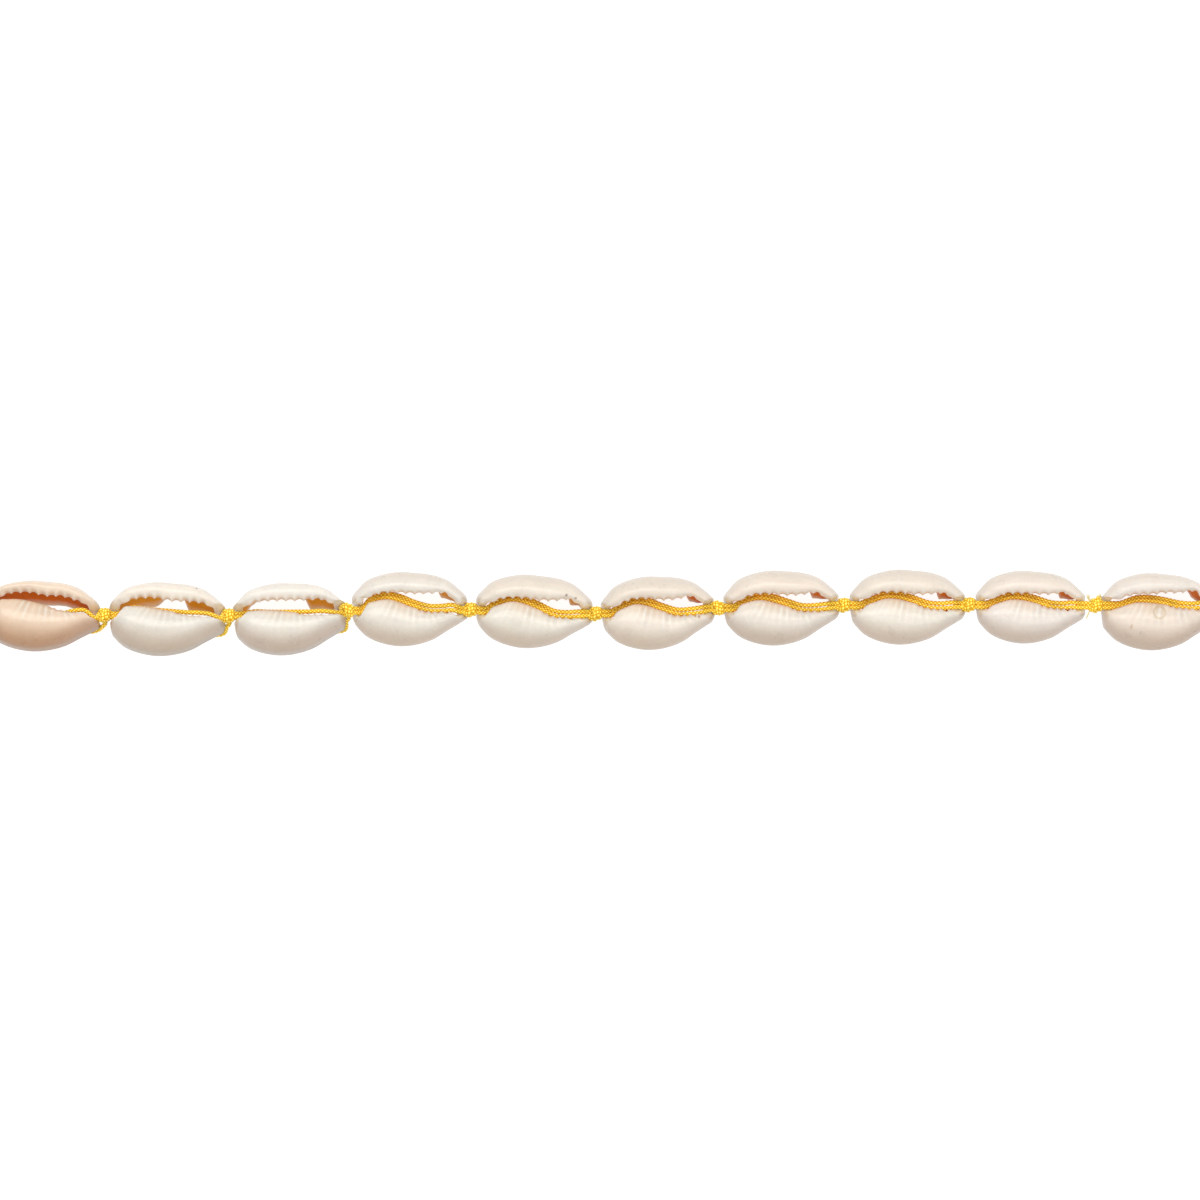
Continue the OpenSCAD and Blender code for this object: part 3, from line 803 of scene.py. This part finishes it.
def braid_tree():
    """Sweeps every line of a mesh into a round braided cord of one thickness."""
    tree = bpy.data.node_groups.new("round_braid", "GeometryNodeTree")
    face = tree.interface
    face.new_socket("Lines", in_out="INPUT", socket_type="NodeSocketGeometry")
    for label, value in (("Thickness", CORD_D), ("Plait length", PLAIT_L), ("Relief", PLAIT_RELIEF)):
        socket = face.new_socket(label, in_out="INPUT", socket_type="NodeSocketFloat")
        socket.default_value = value * MM
    face.new_socket("Finish", in_out="INPUT", socket_type="NodeSocketMaterial")
    face.new_socket("Cord", in_out="OUTPUT", socket_type="NodeSocketGeometry")
    given = node(tree, "NodeGroupInput").outputs
    curve = node(tree, "GeometryNodeMeshToCurve", {"Mesh": given["Lines"]})
    run = node(tree, "GeometryNodeSplineParameter")
    rail = node(tree, "GeometryNodeCaptureAttribute", {"Geometry": curve.outputs[0]})
    rail.capture_items.new("FLOAT", "Run")
    tree.links.new(run.outputs["Length"], rail.inputs["Run"])
    radius = node(tree, "ShaderNodeMath", {0: given["Thickness"], 1: 0.5}, operation="MULTIPLY")
    circle = node(tree, "GeometryNodeCurvePrimitiveCircle",
                  {"Resolution": CORD_SIDES, "Radius": radius.outputs[0]})
    round_way = node(tree, "GeometryNodeSplineParameter")
    profile = node(tree, "GeometryNodeCaptureAttribute", {"Geometry": circle.outputs[0]})
    profile.capture_items.new("FLOAT", "Round")
    tree.links.new(round_way.outputs["Factor"], profile.inputs["Round"])
    swept = node(tree, "GeometryNodeCurveToMesh", {
        "Curve": rail.outputs["Geometry"], "Profile Curve": profile.outputs["Geometry"], "Fill Caps": True,
    })
    angle = node(tree, "ShaderNodeMath", {0: profile.outputs["Round"], 1: 2 * math.pi}, operation="MULTIPLY")
    per_plait = node(tree, "ShaderNodeMath", {0: rail.outputs["Run"], 1: given["Plait length"]},
                     operation="DIVIDE")
    phase = node(tree, "ShaderNodeMath", {0: per_plait.outputs[0], 1: 2 * math.pi}, operation="MULTIPLY")
    # The yarns lie in the troughs of both waves, and the gaps between them on the crests
    gaps = yarn_waves(tree, angle.outputs[0], phase.outputs[0])[1]
    over = node(tree, "ShaderNodeMath", {0: 0.0, 1: gaps}, operation="SUBTRACT")
    lift = node(tree, "ShaderNodeMath", {0: over.outputs[0], 1: given["Relief"]}, operation="MULTIPLY")
    outward = node(tree, "GeometryNodeInputNormal")
    push = node(tree, "ShaderNodeVectorMath", {0: outward.outputs[0], 3: lift.outputs[0]}, operation="SCALE")
    plaited = node(tree, "GeometryNodeSetPosition", {"Geometry": swept.outputs[0], "Offset": push.outputs[0]})
    cosine = node(tree, "ShaderNodeMath", {0: angle.outputs[0]}, operation="COSINE")
    sine = node(tree, "ShaderNodeMath", {0: angle.outputs[0]}, operation="SINE")
    place = node(tree, "ShaderNodeCombineXYZ",
                 {0: cosine.outputs[0], 1: sine.outputs[0], 2: rail.outputs["Run"]})
    kept = node(tree, "GeometryNodeStoreNamedAttribute",
                {"Geometry": plaited.outputs[0], "Name": "braid", "Value": place.outputs[0]},
                data_type="FLOAT_VECTOR", domain="POINT")
    smooth = node(tree, "GeometryNodeSetShadeSmooth", {0: kept.outputs[0]})
    real = node(tree, "GeometryNodeRealizeInstances", {0: smooth.outputs[0]})
    dressed = node(tree, "GeometryNodeSetMaterial",
                   {"Geometry": real.outputs[0], "Material": given["Finish"]})
    node(tree, "NodeGroupOutput", {0: dressed.outputs[0]})
    return tree


def cord_material():
    """Satin polyester, braided: gold yarns with a silky sheen, painted shade in the brown gaps and a painted
    highlight on the crests.
    """
    made, tree = new_material("braided_satin_cord")
    place = node(tree, "ShaderNodeAttribute", attribute_name="braid").outputs["Vector"]
    split = node(tree, "ShaderNodeSeparateXYZ", {0: place})
    angle = node(tree, "ShaderNodeMath", {0: split.outputs[1], 1: split.outputs[0]}, operation="ARCTAN2")
    phase = node(tree, "ShaderNodeMath", {0: split.outputs[2], 1: 2 * math.pi / (PLAIT_L * MM)},
                 operation="MULTIPLY")
    waves, gaps = yarn_waves(tree, angle.outputs[0], phase.outputs[0])
    over = node(tree, "ShaderNodeMapRange", {0: gaps, 1: 1.0, 2: -1.0, 3: 0.0, 4: 1.0})
    # The threads show as fine ribs along each yarn
    thread_phase = node(tree, "ShaderNodeMath", {0: waves[0], 1: waves[1]}, operation="SUBTRACT")
    threads = node(tree, "ShaderNodeMath", {0: thread_phase.outputs[0], 1: THREADS}, operation="MULTIPLY")
    thread_wave = node(tree, "ShaderNodeMath", {0: threads.outputs[0]}, operation="SINE")
    # The ramp paints shade in the gaps between the yarns and a highlight on their crests
    ramp = node(tree, "ShaderNodeValToRGB", {0: over.outputs[0]})
    stops = ramp.color_ramp.elements
    stops.new(0.5)
    for stop, (at, colour) in zip(stops, CORD_SHADE_AND_HIGHLIGHT_STOPS):
        stop.position = at
        stop.color = (*linear(colour), 1)
    on_object = node(tree, "ShaderNodeTexCoord").outputs["Object"]
    worn = node(tree, "ShaderNodeTexNoise",
                {"Vector": on_object, "Scale": 1 / (WEAR_SIZE * MM), "Detail": 3.0})
    tone = node(tree, "ShaderNodeMapRange", {
        0: worn.outputs["Fac"], 1: NOISE_LOW, 2: NOISE_HIGH, 3: CORD_TONES[0], 4: CORD_TONES[1],
    })
    toned = node(tree, "ShaderNodeVectorMath", {0: ramp.outputs[0], 3: tone.outputs[0]}, operation="SCALE")
    rise = node(tree, "ShaderNodeMath", {0: thread_wave.outputs[0], 1: THREAD_RELIEF}, operation="MULTIPLY")
    height = node(tree, "ShaderNodeMath", {0: over.outputs[0], 1: rise.outputs[0]}, operation="ADD")
    bump = node(tree, "ShaderNodeBump", {"Strength": 0.55, "Distance": 0.00006, "Height": height.outputs[0]})
    finish = node(tree, "ShaderNodeBsdfPrincipled", {
        "Base Color": toned.outputs[0], "Roughness": 0.42, "Normal": bump.outputs[0],
        "IOR": 1.4, "Specular IOR Level": 0.3, "Specular Tint": (1.0, 0.85, 0.45, 1.0),
    })
    node(tree, "ShaderNodeOutputMaterial", {"Surface": finish.outputs[0]})
    return made


def cord_piece(name, paths, thickness, relief, tree, finish):
    """Lines swept by the braid's tree, turned into one plain mesh."""
    points = np.concatenate(paths) * MM
    edges, first = [], 0
    for path in paths:
        edges += [(n, n + 1) for n in range(first, first + len(path) - 1)]
        first += len(path)
    lines = bpy.data.meshes.new(f"{name}_lines")
    lines.from_pydata(points.tolist(), edges, [])
    holder = added(f"{name}_lines", lines)
    sweep = holder.modifiers.new("braid", "NODES")
    sweep.node_group = tree
    values = {
        "Thickness": thickness * MM, "Plait length": PLAIT_L * MM, "Relief": relief * MM, "Finish": finish,
    }
    for item in tree.interface.items_tree:
        if item.in_out == "INPUT" and item.name in values:
            sweep[item.identifier] = values[item.name]
    bpy.context.view_layer.update()
    evaluated = holder.evaluated_get(bpy.context.evaluated_depsgraph_get())
    mesh = bpy.data.meshes.new_from_object(evaluated)
    mesh.name = name
    bpy.data.objects.remove(holder)
    return added(name, mesh)


braid = braid_tree()
satin = cord_material()
for name, far in (("first_strand", False), ("second_strand", True)):
    strand_paths = [strand_path(i, far) for i in range(SHELL_COUNT)]
    strand_piece = cord_piece(name, strand_paths, STRAND_D, PLAIT_RELIEF, braid, satin)
    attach(strand_piece, "root")
    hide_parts("strands")


# The knots: both strands tied in one overhand knot between every two shells and drawn
# tight, so that each is a small ball of braided turns with one turn lying over the rest.

# In mm: the wraps' radius, the length that they take up, how far they slant, and the
# thickness of the cord in them. The wraps are wound this many turns from this share of a
# turn on, swell from a point by this power, and are flatter than round by this factor.
KNOT_ROUND = 0.88
KNOT_RUN = 1.30
KNOT_SLANT = 0.22
TURN_D = 0.96
KNOT_TURNS = 1.9
KNOT_FROM = 0.30
KNOT_SWELL = 0.22
KNOT_FLAT = 0.92
KNOT_STEPS = 45
# The turn that lies over the wraps, in mm from the knot's middle
KNOT_CROSS = ((-1.0, -0.35, -0.1), (-0.62, -0.72, 0.35), (-0.15, -0.38, 0.98),
              (0.30, 0.28, 0.98), (0.66, 0.72, 0.40), (0.98, 0.35, -0.1))
# Every so many knots one is tied the other way round
OTHER_HAND = 3


def knot_middle(k):
    return np.array((knots_at[k][0], knots_at[k][1], knot_height(k)))


def knot_paths(k, hand):
    """The wraps of one knot, and the turn that crosses over them."""
    t = np.linspace(0, 1, KNOT_STEPS)
    angle = 2 * math.pi * (KNOT_TURNS * t - KNOT_FROM)
    radius = KNOT_ROUND * np.sin(math.pi * t) ** KNOT_SWELL
    x = KNOT_RUN * (t - 0.5) + KNOT_SLANT * np.sin(angle)
    wraps = np.column_stack((x, hand * radius * np.cos(angle), KNOT_FLAT * radius * np.sin(angle)))
    cross = np.array(KNOT_CROSS) * (1, hand, 1)
    cross = smooth_line(cross, steps_for(cross, STRAND_STEP))
    before, after = link_angles[k - 1], link_angles[k]
    facing = math.atan2(math.sin(before) + math.sin(after), math.cos(before) + math.cos(after))
    return [turned(line, facing) + knot_middle(k) for line in (wraps, cross)]


knot_lines = []
for k in range(SHELL_COUNT):
    if k != CLOSING:
        knot_lines += knot_paths(k, 1 if k % OTHER_HAND else -1)
knots_piece = cord_piece("braided_knots", knot_lines, TURN_D, PLAIT_RELIEF, braid, satin)
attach(knots_piece, "root")
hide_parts("knots")


# The closing knot: where the cord's two ends were tied together. One end stands up out of
# it as a short stub, cut with scissors and frayed at its tip. Loose fibres of the other end
# stand up beside it and hang below.
END_WAY = (0.30, 0.80, 0.50)
END_REACH = 1.75
END_PLACES = (0.2, 0.5, 0.8, 1.0)
# The tufts: where each starts and ends from the knot's middle, its spread, and fibres
TUFTS = (
    ((0.50, 1.25, 0.75), (0.62, 1.75, 0.95), 0.16, 20),
    ((-1.05, 0.70, 0.30), (-1.45, 1.75, 0.50), 0.12, 18),
    ((-0.95, -0.70, -0.10), (-1.65, -2.35, -0.30), 0.05, 12),
)
FRAY_D = 0.10
FRAY_PALE = "#e3d6a0"
# A fibre's length as least and most share of its tuft, and the places along it
FRAY_SHARES = (0.7, 1.05)
FRAY_PLACES = (0, 0.3, 0.65, 1)
FRAY_SEED = 11


def frayed_material():
    """Loose polyester fibres: the eye sees pale, thin, almost colourless hairs."""
    made, tree = new_material("frayed_cord_fibre")
    finish = node(tree, "ShaderNodeBsdfPrincipled", {
        "Base Color": (*linear(FRAY_PALE), 1), "Roughness": 0.5, "Sheen Weight": 0.2,
    })
    node(tree, "ShaderNodeOutputMaterial", {"Surface": finish.outputs[0]})
    return made


closing_lines = knot_paths(CLOSING, 1)
end_way = np.array(END_WAY) / np.linalg.norm(END_WAY)
end_path = np.array([end_way * END_REACH * t for t in END_PLACES])
closing_lines.append(smooth_line(end_path, steps_for(end_path, STRAND_STEP)) + knot_middle(CLOSING))
frays = []
chance = np.random.default_rng(FRAY_SEED)
for start, end, spread, count in TUFTS:
    start, end = np.array(start), np.array(end)
    for _ in range(count):
        root = start + chance.normal(0, 0.5 * spread, 3)
        tip = start + (end - start) * chance.uniform(*FRAY_SHARES) + chance.normal(0, spread, 3)
        bow = chance.normal(0, 0.5 * spread, 3)
        fibre = [root + (tip - root) * t + bow * math.sin(math.pi * t) for t in FRAY_PLACES]
        frays.append(np.array(fibre) + knot_middle(CLOSING))
closing_piece = cord_piece("closing_knot_body", closing_lines, TURN_D, PLAIT_RELIEF, braid, satin)
fray_piece = cord_piece("frayed_tips", frays, FRAY_D, 0.0, braid, frayed_material())
for piece in (closing_piece, fray_piece):
    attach(piece, "root")
    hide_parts("closing_knot")


# The floor, the light and the camera: a white lit table, a broad soft light from behind
# the row and a weaker one from in front, and a camera straight above with the row across
# the middle of its picture.
TABLE_HALF = 0.9
TABLE_GREY = "#8c8c8c"
WHITE = "#ffffff"
# The lights: name, place in metres, power in watts and colour. Each is a disk that points
# to one place on the table. The room's own light is even and white.
LIGHTS = (
    ("window", (-0.10, 0.52, 0.90), 5, "#fffaf2"),
    ("fill", (0.30, -0.25, 1.0), 2, "#fffdf8"),
)
LIGHT_SIZE = 0.8
LIGHT_TARGET = (0, 0.03, 0)
ROOM_LIGHT = 0.72
# The photo's scale, and the pixels of the loop's middle, the knots' line and its own middle
MM_PER_PIXEL = 0.17083
LOOP_MIDDLE_PIXEL = 598.5
KNOT_LINE_PIXEL = 609.8
PICTURE_MIDDLE = 600
LENS = 200
FILM = 36
# The picture's scale holds at this share of the shells' height
SCALE_HEIGHT = 0.8

table_mesh = bpy.data.meshes.new("table")
corners = [(x * TABLE_HALF, y * TABLE_HALF, 0) for x, y in ((-1, -1), (1, -1), (1, 1), (-1, 1))]
table_mesh.from_pydata(corners, [], [(0, 1, 2, 3)])
table, table_tree = new_material("lit_table")
glow = node(table_tree, "ShaderNodeBsdfPrincipled", {
    "Base Color": (*linear(TABLE_GREY), 1), "Roughness": 0.9,
    "Emission Color": (*linear(WHITE), 1), "Emission Strength": 0.88,
})
node(table_tree, "ShaderNodeOutputMaterial", {"Surface": glow.outputs[0]})
table_mesh.materials.append(table)
table_piece = added("table", table_mesh)

for name, place, power, colour in LIGHTS:
    lamp = bpy.data.lights.new(name, "AREA")
    lamp.shape = "DISK"
    lamp.size = LIGHT_SIZE
    lamp.energy = power
    lamp.color = linear(colour)
    light = added(name, lamp)
    light.location = place
    aim = np.array(LIGHT_TARGET) - np.array(place)
    tilt = math.atan2(math.hypot(aim[0], aim[1]), -aim[2])
    light.rotation_euler = (tilt, 0, math.atan2(aim[1], aim[0]) - math.pi / 2)

world = bpy.data.worlds.new("studio")
world.use_nodes = True
world.node_tree.nodes["Background"].inputs[0].default_value = (1, 1, 1, 1)
world.node_tree.nodes["Background"].inputs[1].default_value = ROOM_LIGHT
bpy.context.scene.world = world

camera_data = bpy.data.cameras.new("above")
camera_data.lens = LENS
camera_data.sensor_width = FILM
camera_data.sensor_fit = "HORIZONTAL"
camera_data.clip_start = 0.01
camera = added("above", camera_data)
frame_width = 2 * PICTURE_MIDDLE * MM_PER_PIXEL * MM
row_y = knots_at[1:CLOSING + 1, 1].mean() * MM
camera.location = (
    (PICTURE_MIDDLE - LOOP_MIDDLE_PIXEL) * MM_PER_PIXEL * MM,
    row_y + (KNOT_LINE_PIXEL - PICTURE_MIDDLE) * MM_PER_PIXEL * MM,
    frame_width * LENS / FILM + SHELL_H * MM * SCALE_HEIGHT,
)
bpy.context.scene.camera = camera
bpy.context.scene.view_settings.view_transform = "Standard"
